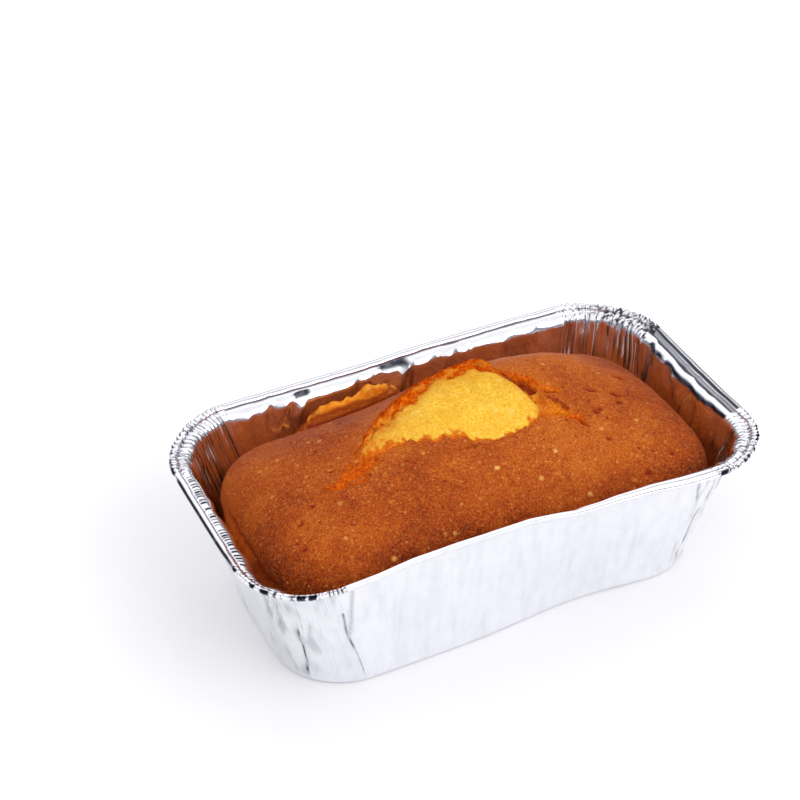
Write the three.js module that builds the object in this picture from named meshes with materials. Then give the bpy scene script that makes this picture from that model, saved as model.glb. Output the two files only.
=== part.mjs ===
import * as THREE from "three";

// Foil tin, outside sizes in millimetres
const rimLength = 200;
const rimWidth = 116.6;
const tinHeight = 59;
const floorLength = 166;
const floorWidth = 80;
const floorCorner = 27;
const foilThickness = 0.5;
const floorBend = 1.5;
const beadRadius = 1.6;
const flangeReach = 5.4;
const flangeDrop = 1;
const rimBend = 1.2;
const rimReach = flangeReach + beadRadius;
const wallTopCorner = 22.7;

// Folds pressed into the tin's corners
const foldsPerCorner = 12;
const wallFold = 0.45;
const rimFold = 0.3;
const floorFoldShare = 0.25;

// Where the tin has been pushed out of shape
const kinkX = 0;
const wallDent = 3.6;
const wallDentReach = [80, 28];
const beadDent = 5.6;
const beadDentReach = [150, 58];
const frontTilt = 1.3;
const floorDent = 3.5;
const floorDentX = 25;
const floorDentReach = 28;
const backBow = 4;
const backBowX = 12;
const backBowReach = [190, 240];
const backBowEnd = 95;
const backBowFade = 25;
const rightBow = 2.2;
const rightBowReach = 34;
const rimWave = 0.3;

// Loaf: plan sizes at the edge of its top crust
const loafLeft = -85.5;
const loafRight = 86;
const loafHalf = 46.5;
const loafCorner = 26;
const loafFloorGap = 0.4;
const loafFrontGap = 1;
const loafBackGap = 1.8;
const loafFootBend = 1.6;
const loafEndTaper = 0.953;

// Loaf: height of the crust
const edgeHeight = 37.5;
const edgeRiseLeft = 4.6;
const edgeFallRight = 2.2;
const edgeFallBack = 4;
const shoulderRise = 10.6;
const shoulderWidth = 17;
const endShoulderWidth = 10;
const endShoulderReach = 45;
const crownRise = 20;
const crownLength = 90;
const crownWidth = 50;
const crownPower = 3.2;
const lift = 10.5;
const liftX = 30;
const liftLength = 41;
const liftY = 19;
const liftWidth = 26;

// Split along the top: the back crust is lifted and the crumb shows
const splitLeft = -44;
const splitRight = 27;
const splitWidth = 38;
const splitLeftPower = 1.2;
const splitRightPower = 0.6;
const splitPeak = 0.334;
const splitFrontY = -8;
const splitDip = 7.5;
const splitDipFrom = -20;
const splitDipTo = 0;
const splitRise = 5;
const splitRiseFrom = 8;
const splitRiseTo = 28;
const tornRate = 4;
const bandWidth = 3;
const crumbDrop = 1.4;
const crumbSwell = 1.5;
const lipThickness = 2;
const lipOverhang = 0.7;
const lipCurl = 6;
const lipCurlReach = 9;

// Ragged fin of risen crust along the back edge, left of the middle
const finLeft = -51;
const finRight = -3;
const finTop = 60;
const finLowTop = 49;
const finRag = 0.9;
const finLean = 1.6;
const finInset = 5.5;
const finFade = 8;
const finCorners = [[0.3, 0.6, 0.8], [0.55, 1, 0], [0.85, 1, 1.4]];

// How many facets the loaf's section and length are cut into
const floorSteps = 6;
const sideSteps = 3;
const crustSteps = 14;
const crumbSteps = 6;
const backSteps = 10;
const endSteps = 7;
const middleSteps = 30;
const capPoint = floorSteps + sideSteps + crustSteps;

const { lerp, clamp, smoothstep } = THREE.MathUtils;

function tent(x, peak, reach) {
  const side = x < peak ? (peak - x) / reach[0] : (x - peak) / reach[1];
  return Math.max(0, 1 - side);
}

// How far the front wall stands in at x: level runs from floor to rim, out from wall to bead
function frontPush(x, level, out) {
  const wallTop = wallDent * tent(x, kinkX, wallDentReach);
  const beadTop = beadDent * tent(x, kinkX, beadDentReach);
  const top = lerp(wallTop, beadTop, clamp(out / rimReach, 0, 1));
  const bottom = floorDent * Math.exp(-(((x - floorDentX) / floorDentReach) ** 2));
  return lerp(bottom, top, level);
}

function wallReach(level) {
  return lerp(floorWidth / 2, rimWidth / 2 - rimReach, level);
}

function wallLength(level) {
  return lerp(floorLength / 2, rimLength / 2 - rimReach, level);
}

function ringOutline(station, halfLength, halfWidth, corner) {
  const at = (quarter, turn) => {
    const signX = quarter === 0 || quarter === 3 ? 1 : -1;
    const signY = quarter < 2 ? 1 : -1;
    const angle = (quarter + turn) * Math.PI / 2;
    return new THREE.Vector2(
      signX * (halfLength - corner) + corner * Math.cos(angle),
      signY * (halfWidth - corner) + corner * Math.sin(angle)
    );
  };
  const start = at(station.quarter, station.turn);
  return start.lerp(at((station.quarter + 1) % 4, 0), station.along);
}

// Round the tin: each corner in half folds, then the straight that follows it
function tinStations() {
  const straightSteps = [10, 5, 12, 5];
  const cornerSteps = foldsPerCorner * 2;
  const list = [];
  for (let quarter = 0; quarter < 4; quarter++) {
    for (let step = 0; step < cornerSteps; step++) {
      const turn = step / cornerSteps;
      const fold = (step % 2 ? 1 : -1) * Math.sin(Math.PI * turn);
      list.push({ quarter, turn, along: 0, fold });
    }
    for (let step = 0; step < straightSteps[quarter]; step++) {
      list.push({ quarter, turn: 1, along: step / straightSteps[quarter], fold: 0 });
    }
  }
  return list;
}

// The tin's section, from the floor's underside out over the rim and back to the floor inside
function tinRings() {
  const wallHeights = [17, 37, tinHeight - flangeDrop - rimBend - 2];
  const flangeTop = tinHeight - flangeDrop;
  const beadMiddle = tinHeight - beadRadius;
  const rings = [
    { share: 0, z: 0, out: 0 },
    { share: 1, z: 0, out: -floorBend },
    { share: 1, z: floorBend, out: 0 }
  ];
  for (const z of wallHeights) {
    rings.push({ share: 1, z, out: 0 });
  }
  rings.push({ share: 1, z: flangeTop - foilThickness, out: rimBend });
  const beadSteps = 5;
  const beadStart = -Math.PI * 0.9;
  const beadEnd = Math.PI * 0.75;
  for (let step = 0; step <= beadSteps; step++) {
    const angle = lerp(beadStart, beadEnd, step / beadSteps);
    const out = flangeReach + beadRadius * Math.cos(angle);
    rings.push({ share: 1, z: beadMiddle + beadRadius * Math.sin(angle), out });
  }
  rings.push({ share: 1, z: flangeTop, out: flangeReach - beadRadius * 1.1 });
  rings.push({ share: 1, z: flangeTop, out: rimBend - foilThickness / 2 });
  for (const z of wallHeights.reverse()) {
    rings.push({ share: 1, z, out: -foilThickness });
  }
  rings.push({ share: 1, z: floorBend, out: -foilThickness });
  rings.push({ share: 1, z: foilThickness, out: -floorBend - foilThickness / 2 });
  rings.push({ share: 0, z: foilThickness, out: 0 });
  return rings;
}

function tinPoint(station, ring) {
  const level = clamp(ring.z / (tinHeight - flangeDrop), 0, 1);
  const onRim = clamp(ring.out / rimReach, 0, 1);
  const foldDepth = lerp(wallFold * lerp(floorFoldShare, 1, level), rimFold, onRim);
  const flatFloor = smoothstep(ring.z, 0, floorBend * 2);
  const out = ring.out + station.fold * foldDepth * flatFloor;
  const corner = lerp(floorCorner, wallTopCorner, level) + out;
  const plan = ringOutline(station, wallLength(level) + out, wallReach(level) + out, corner);
  const onFront = smoothstep(-plan.y, 10, 30);
  const onBack = smoothstep(plan.y, 20, 45);
  const onRight = smoothstep(plan.x, 40, 80);
  const acrossRight = Math.max(0, 1 - (plan.y / rightBowReach) ** 2);
  const fromCorner = smoothstep(backBowEnd - Math.abs(plan.x), 0, backBowFade);
  const acrossBack = tent(plan.x, backBowX, backBowReach) * fromCorner;
  const y = plan.y + onFront * frontPush(plan.x, level, ring.out) + onBack * backBow * level * acrossBack;
  const x = plan.x - onRight * rightBow * level * acrossRight * (1 - onRim);
  const wave = rimWave * level ** 3 * Math.cos(plan.x / 23 + plan.y / 17);
  const foldLift = rimFold * station.fold * onRim;
  const tilt = onFront * frontTilt * (onRim * 2 - 1) * level ** 6;
  const z = ring.z - rimWave * level ** 3 + wave + foldLift + tilt;
  return new THREE.Vector3(x * ring.share, y * ring.share, z);
}

function foilTinGeometry() {
  const stations = tinStations();
  const rings = tinRings();
  const profile = rings.map((ring) => new THREE.Vector2(ring.share * (rimWidth / 2 + ring.out), ring.z));
  const geometry = new THREE.LatheGeometry(profile, stations.length);
  const position = geometry.attributes.position;
  for (let index = 0; index < position.count; index++) {
    const station = stations[Math.floor(index / rings.length) % stations.length];
    const point = tinPoint(station, rings[index % rings.length]);
    position.setXYZ(index, point.x, point.y, point.z);
  }
  return geometry;
}

// Half width left by the loaf's rounded corners at x, as a share of the full half width
function cornerShare(x, halfWidth) {
  const past = Math.max(loafLeft + loafCorner - x, x - (loafRight - loafCorner), 0);
  const arc = Math.sqrt(Math.max(0, loafCorner ** 2 - past ** 2));
  return (halfWidth - loafCorner + arc) / halfWidth;
}

// The loaf's sides stand just inside the tin: direction is -1 for the front and 1 for the back
function sideY(x, z, direction) {
  const level = clamp(z / (tinHeight - flangeDrop), 0, 1);
  const gap = direction < 0 ? loafFrontGap : loafBackGap;
  const half = wallReach(level) - foilThickness - gap;
  const push = direction < 0 ? frontPush(x, level, 0) : 0;
  return direction * (half - push) * cornerShare(x, half);
}

// Distance in from the loaf's outline, where front and back are its edges at x
function edgeDepth(x, y, front, back) {
  const middle = (loafLeft + loafRight) / 2;
  const halfLength = (loafRight - loafLeft) / 2;
  const across = y < 0 ? y / front : y / back;
  const pastX = Math.abs(x - middle) - (halfLength - loafCorner);
  const pastY = across * loafHalf * cornerShare(x, loafHalf) - (loafHalf - loafCorner);
  const outside = Math.hypot(Math.max(pastX, 0), Math.max(pastY, 0));
  return loafCorner - outside - Math.min(Math.max(pastX, pastY), 0);
}

// Height of the crust without its rounded shoulder
function domeHeight(x, y) {
  const endward = x < 0 ? edgeRiseLeft * x / loafLeft : -edgeFallRight * x / loafRight;
  const edge = edgeHeight + endward - edgeFallBack * y / loafHalf;
  const crown = crownRise * (1 - Math.abs(x / crownLength) ** crownPower) * (1 - (y / crownWidth) ** 2);
  const lifted = lift * Math.exp(-(((x - liftX) / liftLength) ** 2) - ((y - liftY) / liftWidth) ** 2);
  return edge + crown + lifted;
}

function crustHeight(x, y, front, back) {
  const fromEnd = Math.min(x - loafLeft, loafRight - x);
  const width = lerp(endShoulderWidth, shoulderWidth, smoothstep(fromEnd, 0, endShoulderReach));
  const depth = clamp(edgeDepth(x, y, front, back) / width, 0, 1);
  return domeHeight(x, y) + shoulderRise * Math.sqrt(1 - (1 - depth) ** 2);
}

function splitAlong(x) {
  return clamp((x - splitLeft) / (splitRight - splitLeft), 0, 1);
}

// How far the split gapes at x, from 0 at its tips to about 1
function splitShare(x) {
  const along = splitAlong(x);
  return along ** splitLeftPower * (1 - along) ** splitRightPower / splitPeak;
}

function splitFront(x) {
  const dip = splitDip * smoothstep(x, splitDipFrom, splitDipTo);
  return splitFrontY - dip + splitRise * smoothstep(x, splitRiseFrom, splitRiseTo);
}

function finShare(x) {
  return smoothstep(x, finLeft, finLeft + finFade) * smoothstep(-x, -finRight, -finRight + finFade);
}

function finHeight(x) {
  const along = clamp((x - finLeft) / (finRight - finLeft), 0, 1);
  const rag = finRag * (Math.sin(x * 0.9) + 0.6 * Math.sin(x * 2.3 + 1));
  return lerp(finLowTop, finTop, Math.sin(along * Math.PI * 0.62)) + rag;
}

// The loaf's section at x: from the back foot under the loaf, up the front, over the split, down the back
function loafSection(x) {
  const footZ = foilThickness + loafFloorGap;
  const bendZ = footZ + loafFootBend;
  const front = sideY(x, domeHeight(x, -loafHalf), -1);
  const back = sideY(x, domeHeight(x, loafHalf), 1);
  const frontEdge = crustHeight(x, front, front, back);
  const backEdge = crustHeight(x, back, front, back);
  const points = [];
  const add = (y, z, slide) => points.push(new THREE.Vector3(x * slide, y, z));
  const slideAt = (z, edge) => lerp(loafEndTaper, 1, (z - bendZ) / (edge - bendZ));

  const backFoot = sideY(x, bendZ, 1) - loafFootBend;
  const frontFoot = sideY(x, bendZ, -1) + loafFootBend;
  for (let step = 0; step <= floorSteps; step++) {
    add(lerp(backFoot, frontFoot, step / floorSteps), footZ, loafEndTaper - loafFootBend / loafRight);
  }
  for (let step = 0; step < sideSteps; step++) {
    const z = lerp(bendZ, frontEdge, step / sideSteps);
    add(sideY(x, z, -1), z, slideAt(z, frontEdge));
  }

  const splitY = splitFront(x);
  for (let step = 0; step <= crustSteps; step++) {
    const y = lerp(front, splitY, 1 - Math.cos((step / crustSteps) * Math.PI / 2));
    add(y, crustHeight(x, y, front, back), 1);
  }

  const gape = splitShare(x);
  const torn = clamp(gape * tornRate, 0, 1);
  const lipY = splitY + bandWidth + gape * (splitWidth - bandWidth);
  const backTop = (y) => {
    const curl = lipCurl * torn * Math.sqrt(gape) * Math.exp((lipY - y) / lipCurlReach);
    return crustHeight(x, y, front, back) + curl;
  };
  const crumbStart = crustHeight(x, splitY, front, back) - crumbDrop * torn;
  const crumbEnd = backTop(lipY) - lipThickness * torn;
  for (let step = 1; step <= crumbSteps; step++) {
    const along = step / crumbSteps;
    const swell = crumbSwell * torn * Math.sin(Math.PI * along);
    add(lerp(splitY, lipY, along), lerp(crumbStart, crumbEnd, along) + swell, 1);
  }
  const lipEdge = lipY + lerp(bandWidth / 4, -lipOverhang, torn);
  add(lipEdge, backTop(Math.max(lipY, lipEdge)), 1);

  const crease = back - finInset;
  for (let step = 1; step <= backSteps; step++) {
    const y = lerp(lipY + bandWidth / 4, crease, Math.sin((step / backSteps) * Math.PI / 2));
    add(y, backTop(y), 1);
  }
  const fin = finShare(x);
  for (const [share, lean, drop] of finCorners) {
    const y = lerp(crease, back, share);
    add(y + fin * finLean * lean, lerp(backTop(y), finHeight(x) - drop, fin), 1);
  }
  for (let step = 0; step <= sideSteps; step++) {
    const z = lerp(backEdge, bendZ, step / sideSteps);
    add(sideY(x, z, 1), z, slideAt(z, backEdge));
  }
  return points;
}

// Places along the loaf, close together where its ends are rounded
function loafStations() {
  const list = [];
  for (let step = 0; step < endSteps; step++) {
    list.push(loafLeft + loafCorner * (1 - Math.cos((step / endSteps) * Math.PI / 2)));
  }
  for (let step = 0; step <= middleSteps; step++) {
    list.push(lerp(loafLeft + loafCorner, loafRight - loafCorner, step / middleSteps));
  }
  for (let step = endSteps - 1; step >= 0; step--) {
    list.push(loafRight - loafCorner * (1 - Math.cos((step / endSteps) * Math.PI / 2)));
  }
  return list;
}

function cakeGeometry() {
  const sections = loafStations().map(loafSection);
  const along = sections.length - 1;
  const around = sections[0].length;
  const geometry = new THREE.CylinderGeometry(1, 1, 1, around, along);
  const position = geometry.attributes.position;
  for (let index = 0; index < position.count; index++) {
    const section = sections[Math.round((0.5 - position.getY(index)) * along)];
    const radius = Math.hypot(position.getX(index), position.getZ(index));
    const turn = Math.atan2(position.getX(index), position.getZ(index)) / (2 * Math.PI);
    const place = (Math.round(turn * around) + around) % around;
    const middle = new THREE.Vector3().lerpVectors(section[floorSteps / 2], section[capPoint], 0.5);
    const point = radius > 0.5 ? section[place] : middle;
    position.setXYZ(index, point.x, point.y, point.z);
  }
  return geometry;
}

function part(name, geometry, colour, roughness, metalness) {
  const material = new THREE.MeshStandardMaterial({ color: colour, roughness, metalness });
  const mesh = new THREE.Mesh(geometry, material);
  mesh.name = name;
  return mesh;
}

const tinGeometry = foilTinGeometry();
const loafGeometry = cakeGeometry();
tinGeometry.computeBoundingBox();
const middle = tinGeometry.boundingBox.getCenter(new THREE.Vector3());
for (const geometry of [tinGeometry, loafGeometry]) {
  geometry.translate(-middle.x, -middle.y, 0);
}

const cakeInTin = new THREE.Group();
cakeInTin.name = "pound_cake";
cakeInTin.add(part("cake", loafGeometry, 0xb5672c, 0.75, 0));
cakeInTin.add(part("foil_tin", tinGeometry, 0xd9dbe0, 0.3, 1));

export default cakeInTin;
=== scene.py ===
import math
import bpy
import numpy as np
from mathutils import Matrix


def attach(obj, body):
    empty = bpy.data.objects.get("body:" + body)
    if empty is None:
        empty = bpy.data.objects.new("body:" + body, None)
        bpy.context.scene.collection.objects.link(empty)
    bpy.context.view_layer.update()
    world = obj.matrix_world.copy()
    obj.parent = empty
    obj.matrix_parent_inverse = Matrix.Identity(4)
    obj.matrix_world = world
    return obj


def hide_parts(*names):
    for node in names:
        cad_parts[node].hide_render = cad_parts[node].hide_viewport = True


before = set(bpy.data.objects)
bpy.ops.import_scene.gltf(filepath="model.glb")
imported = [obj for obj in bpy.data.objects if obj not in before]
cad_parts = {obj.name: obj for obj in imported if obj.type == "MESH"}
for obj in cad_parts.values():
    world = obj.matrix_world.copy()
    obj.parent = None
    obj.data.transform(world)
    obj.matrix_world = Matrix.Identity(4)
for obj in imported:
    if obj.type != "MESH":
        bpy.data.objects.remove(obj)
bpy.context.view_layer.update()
bpy.ops.object.select_all(action="DESELECT")
print("frame loaded:", sorted(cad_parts))

mm = 0.001
shiftY = -2.07  # the dented tin is centred by its box


def smooth(value, low, high):
    t = np.clip((value - low) / (high - low), 0, 1)
    return t * t * (3 - 2 * t)


def mix(a, b, t):
    return a + (b - a) * t


def tent(x, peak, reach):
    return np.clip(1 - np.where(x < peak, (peak - x) / reach[0], (x - peak) / reach[1]), 0, 1)


# rises from low, is whole up to highFull and falls to high
def window(value, low, lowFull, highFull, high):
    return smooth(value, low, lowFull) * smooth(-value, -high, -highFull)


def bell(value, middle, width):
    return np.exp(-(((value - middle) / width) ** 2))


# soft random lumps of one size, from -1 to 1
def lumps(x, y, z, size, seed):
    table = np.random.RandomState(seed).uniform(-1, 1, (32, 32, 32))
    places = np.broadcast_arrays(x / size, y / size, z / size)
    cells = [np.floor(place).astype(int) for place in places]
    fades = []
    for place, cell in zip(places, cells):
        t = place - cell
        fades.append(t * t * t * (t * (t * 6 - 15) + 10))
    total = 0
    for corner in range(8):
        bits = [corner & 1, corner >> 1 & 1, corner >> 2 & 1]
        weight = 1
        for bit, fade in zip(bits, fades):
            weight = weight * (fade if bit else 1 - fade)
        spots = [(cell + bit) % 32 for bit, cell in zip(bits, cells)]
        total = total + weight * table[spots[0], spots[1], spots[2]]
    return total * 1.3


# lumps of several sizes added up: (height, size, seed) of each
def layered(x, y, z, layers):
    return sum(height * lumps(x, y, z, size, seed) for height, size, seed in layers)


# a zigzag of straight pieces of about one length, from -1 to 1
def broken(place, length, seed):
    random = np.random.RandomState(seed)
    knots = np.cumsum(random.uniform(0.4, 1.6, int(420 / length))) * length - 210
    return np.interp(place, knots, random.uniform(-1, 1, len(knots)))


# distance to a line of (x, y, half width) points, as a share of the half width
def nearLine(x, y, line):
    best = np.full(np.broadcast(x, y).shape, 9.0)
    for (ax, ay, aw), (bx, by, bw) in zip(line[:-1], line[1:]):
        run = (bx - ax) ** 2 + (by - ay) ** 2
        t = np.clip(((x - ax) * (bx - ax) + (y - ay) * (by - ay)) / run, 0, 1)
        away = np.hypot(x - mix(ax, bx, t), y - mix(ay, by, t))
        best = np.minimum(best, away / mix(aw, bw, t))
    return best


def cornersOf(piece):
    spots = np.zeros(len(piece.data.vertices) * 3)
    piece.data.vertices.foreach_get("co", spots)
    return spots.reshape(-1, 3)


# a tube with rings along it: corners come back as (ring, place round the ring)
def ringTube(name, around, cuts, ends):
    bpy.ops.object.select_all(action="DESELECT")
    bpy.ops.mesh.primitive_cylinder_add(vertices=around, radius=1, depth=2, end_fill_type=ends)
    tube = bpy.context.object
    tube.name = tube.data.name = name
    rings = 1
    for cut in cuts:
        bpy.ops.object.mode_set(mode="EDIT")
        bpy.ops.mesh.select_mode(type="EDGE")
        bpy.ops.mesh.select_all(action="DESELECT")
        bpy.ops.object.mode_set(mode="OBJECT")
        pairs = np.zeros(len(tube.data.edges) * 2, int)
        tube.data.edges.foreach_get("vertices", pairs)
        heights = cornersOf(tube)[:, 2][pairs.reshape(-1, 2)]
        long = np.abs(heights[:, 0] - heights[:, 1]) > 0.2 / rings
        tube.data.edges.foreach_set("select", long)
        bpy.ops.object.mode_set(mode="EDIT")
        bpy.ops.mesh.subdivide(number_cuts=cut)
        bpy.ops.object.mode_set(mode="OBJECT")
        rings *= cut + 1
    spots = cornersOf(tube)
    ring = np.rint((spots[:, 2] + 1) / 2 * rings).astype(int)
    place = np.rint(np.arctan2(spots[:, 1], spots[:, 0]) / (2 * np.pi) * around).astype(int) % around
    return tube, ring, place


def putCorners(piece, points):
    piece.data.vertices.foreach_set("co", (points * mm).astype(np.float32).ravel())
    piece.data.update()


# merges the poles, turns the faces outward and leaves the piece selected
def tidyMesh(piece):
    bpy.ops.object.select_all(action="DESELECT")
    piece.select_set(True)
    bpy.context.view_layer.objects.active = piece
    bpy.ops.object.mode_set(mode="EDIT")
    bpy.ops.mesh.select_all(action="SELECT")
    bpy.ops.mesh.remove_doubles(threshold=0.001 * mm)
    bpy.ops.mesh.normals_make_consistent(inside=False)
    bpy.ops.mesh.select_all(action="DESELECT")
    bpy.ops.object.mode_set(mode="OBJECT")


def addAttribute(piece, name, values):
    layer = piece.data.attributes.new(name, "FLOAT", "POINT")
    layer.data.foreach_set("value", values.astype(np.float32).ravel())


def addNode(tree, kind, values=None, **settings):
    item = tree.nodes.new(kind)
    for key, value in settings.items():
        setattr(item, key, value)
    for key, value in (values or {}).items():
        item.inputs[key].default_value = value
    return item


def tint(red, green, blue):
    parts = [c / 255 for c in (red, green, blue)]
    return [c / 12.92 if c <= 0.04045 else ((c + 0.055) / 1.055) ** 2.4 for c in parts] + [1]


def addRamp(tree, source, stops):
    ramp = addNode(tree, "ShaderNodeValToRGB")
    bar = ramp.color_ramp.elements
    while len(bar) < len(stops):
        bar.new(0.5)
    for stop, (place, colour) in zip(bar, stops):
        stop.position = place
        stop.color = tint(*colour)
    tree.links.new(source, ramp.inputs["Fac"])
    return ramp.outputs["Color"]


def addMath(tree, operation, first, second, clamp=False):
    item = addNode(tree, "ShaderNodeMath", operation=operation, use_clamp=clamp)
    for socket, value in zip(item.inputs, (first, second)):
        if isinstance(value, (int, float)):
            socket.default_value = value
        else:
            tree.links.new(value, socket)
    return item.outputs["Value"]


def addMix(tree, share, first, second):
    item = addNode(tree, "ShaderNodeMix", data_type="RGBA")
    for socket, value in zip((item.inputs[0], item.inputs[6], item.inputs[7]), (share, first, second)):
        if isinstance(value, (int, float, list)):
            socket.default_value = value
        else:
            tree.links.new(value, socket)
    return item.outputs[2]


def addRange(tree, value, low, high, start, end):
    item = addNode(tree, "ShaderNodeMapRange", {1: low, 2: high, 3: start, 4: end})
    tree.links.new(value, item.inputs[0])
    return item.outputs[0]


def newMaterial(name):
    finish = bpy.data.materials.new(name)
    finish.use_nodes = True
    tree = finish.node_tree
    spots = addNode(tree, "ShaderNodeTexCoord").outputs["Object"]
    return finish, tree, tree.nodes["Principled BSDF"], spots


def addNoise(tree, spots, scale, detail=3, rough=0.5):
    item = addNode(tree, "ShaderNodeTexNoise", {"Scale": scale, "Detail": detail, "Roughness": rough})
    tree.links.new(spots, item.inputs["Vector"])
    return item.outputs


def addBump(tree, shader, height, strength, depth):
    bump = addNode(tree, "ShaderNodeBump", {"Strength": strength, "Distance": depth})
    tree.links.new(height, bump.inputs["Height"])
    tree.links.new(bump.outputs["Normal"], shader.inputs["Normal"])


# values that the mesh carries
def carried(tree, name):
    return addNode(tree, "ShaderNodeAttribute", attribute_name=name).outputs["Fac"]


# the photograph's view: place, then the camera's right, up and backward directions
view = {
    "place": (-0.24518, -0.48926, 0.48125),
    "right": (0.90364, -0.42765, -0.02334),
    "up": (0.27171, 0.53031, 0.80308),
    "back": (-0.33106, -0.73204, 0.59541),
    "lens": 86.6,
}


def addCamera():
    bpy.ops.object.camera_add()
    camera = bpy.context.object
    camera.name = "photoView"
    turn = Matrix((view["right"], view["up"], view["back"])).transposed()
    camera.matrix_world = Matrix.Translation(view["place"]) @ turn.to_4x4()
    camera.data.lens = view["lens"]
    camera.data.sensor_width = 36
    bpy.context.scene.camera = camera
    print("camera placed")


# foil tin, millimetres
tin = {
    "rimLength": 200, "rimWidth": 116.6, "height": 59,
    "floorLength": 166, "floorWidth": 80, "floorCorner": 27, "topCorner": 22.7,
    "rimReach": 7, "beadAt": 5.4, "beadRadius": 1.4, "beadMiddle": 57.4, "flangeZ": 57.5,
    "flangeRings": [(1.95, 0), (2.25, 0), (3.1, 0), (3.3, 0.06), (3.65, 0.5), (3.9, 0.55)],  # out, drop
    "wallTop": 53.6, "shoulderReach": 2.3, "floorBend": 1.5, "sheet": 0.3, "sheetIn": 0.25,
    "kinkX": 0, "wallDent": 3.6, "wallDentReach": (80, 28),
    "beadDent": 5.6, "beadDentReach": (150, 58), "frontTilt": 1.3, "flatFrom": 5, "flatTo": 25,
    "frontBow": [(-95, 0), (-82, 0.8), (-75, 1.6), (-58, 1.8), (-45, 3.1), (-27, 3.2), (-14, 2.7), (0, 2.2),
                 (9, 1.7), (16, 1.1), (24, 1.6), (33, 2.4), (48, 2.3), (56, 1.5), (65, 0.9), (80, 0.4),
                 (95, 0)],
    "floorDent": 3.5, "floorDentX": 25, "floorDentReach": 28,
    "backBow": [(-70, 2.3), (-24, 2.7), (-6, 3.2), (5, 4), (24, 4.1), (40, 3.8), (56, 3.2), (72, 2.9)],
    "backBowEnd": 95, "backBowFade": 25, "rightBow": 2.2, "rightBowReach": 34,
    "rimWave": 0.3, "rimRoll": 0.08, "grooveFill": 0.45,
    "folds": 25, "foldStations": 4, "wallFold": 0.42, "rimFold": 0.42,
    # steps along the straight after each corner (back, left, front, right): (up to, step)
    "straights": [[(140.6, 1.1)], [(57.2, 0.34)], [(13, 0.42), (134, 1.2), (140.6, 0.6)], [(57.2, 0.9)]],
    "flute": 0.13, "crinkle": 0.38, "slant": 0.42, "shoulderCrinkle": 0.6, "bar": 0.2,
    "wallRings": 20, "beadRings": 16,
    # sharp creases in the wall: points, depth, half width and painted shade
    "creases": [
        ([(-82, -36.4, 30.1), (-80.6, -35.7, 24.1), (-79, -34.4, 16.1), (-77.1, -30.8, 3)], 1.0, 0.75, 1),
        ([(-79.1, -41.7, 36.9), (-78.9, -37.6, 25)], 0.5, 0.85, 0.4),
        ([(-65.6, -47.5, 51.4), (-65.9, -45.3, 34.9), (-66.5, -44.1, 27.6)], 0.6, 1, 0.4),
        ([(-69, -46.3, 41.6), (-67.6, -44.8, 31.5), (-66.5, -44.1, 27.5), (-64, -43, 20.1)],
         0.7, 0.65, 0.95),
        ([(-64, -43, 20.1), (-61.4, -41.4, 11.4), (-59.7, -40.5, 3.8)], 0.7, 0.55, 0.35),
        ([(68.4, -49.2, 49.3), (69.8, -46.6, 38.6)], 0.5, 0.6, 0.8),
        ([(76.8, -46.6, 45.7), (77.1, -42.8, 35.5), (72.4, -43.5, 30.2), (69.9, -42.5, 21.8),
          (68.9, -37.3, 3.6)], 0.6, 0.7, 0.9),
        ([(4.3, 55.4, 57.2), (1.5, 53.9, 52.5), (-1.7, 52.2, 47.5)], 1.6, 1.5, 0.8),
        ([(4.3, 55.4, 57.2), (3.8, 53.4, 51), (2.6, 52.2, 47)], 1.0, 1.0, 0.6),
        ([(90, 4.5, 53), (89.2, 0, 49), (88.8, -5, 45)], 0.9, 1.5, 0.3),
        ([(90, -6.6, 54.2), (89.2, -5.6, 49.2), (88.5, -5.3, 44)], 1.0, 0.9, 0.55),
        ([(91, -13, 55.3), (89.6, -13.4, 49.5), (88.3, -12.1, 41.6)], 0.8, 0.8, 0.4),
        ([(-40.7, 52.5, 52.8), (-42.6, 51.8, 49.8), (-44.6, 51.2, 47.6), (-46.4, 50.6, 45.4)],
         1.4, 1.3, 0.5),
        ([(-51.3, 51.4, 48.9), (-51.3, 50.2, 44.1)], 0.6, 0.7, 0.3),
        ([(-63.3, 52.3, 53.8), (-62.2, 51.2, 49.1), (-61.6, 50.3, 45.3)], 0.7, 0.8, 0.3),
        ([(91.6, 29.2, 55.5), (90.7, 28.7, 51), (89.8, 28.2, 46)], 1.2, 0.6, 0),
        ([(90.9, -26.5, 52), (89.7, -26, 45)], 0.9, 0.7, 0),
    ],
    # painted dark reflections in blocks along the back rim: x from, to, out from, to
    "blocks": [(-7.5, 4, 0.6, 3.2), (-43.5, -37.5, 0.3, 1.9), (20, 27, 2.9, 3.8)],
    # how dark the painted shade and painted reflections on the foil are, from 0 to 1
    "foldShade": 0.06, "speckShade": 0.98, "rightShade": 0.97, "grooveShade": 0.4, "backShade": 0.6,
    "ridgeShade": 0.5, "blockShade": (0.86, 0.97), "streakShade": (0.03, 0.28), "cornerShade": (0.04, 0.18),
    "pleatShade": 0.75,
    # surface
    # lineTint paints faint grey reflections down the sheet; darkTint colours the painted shade and painted
    # reflections
    "sheen": [(0.3, (243, 243, 249)), (0.7, (250, 250, 254))], "lineTint": (214, 214, 226), "lineShare": 0.36,
    "darkTint": (26, 28, 44), "rough": (0.07, 0.15), "metal": (0.99, 0.1), "drawn": 0.035,
    "bump": (0.05, 0.0006),  # strength, metres
}


def wallReach(level):
    return mix(tin["floorWidth"] / 2, tin["rimWidth"] / 2 - tin["rimReach"], level)


def wallLength(level):
    return mix(tin["floorLength"] / 2, tin["rimLength"] / 2 - tin["rimReach"], level)


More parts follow.
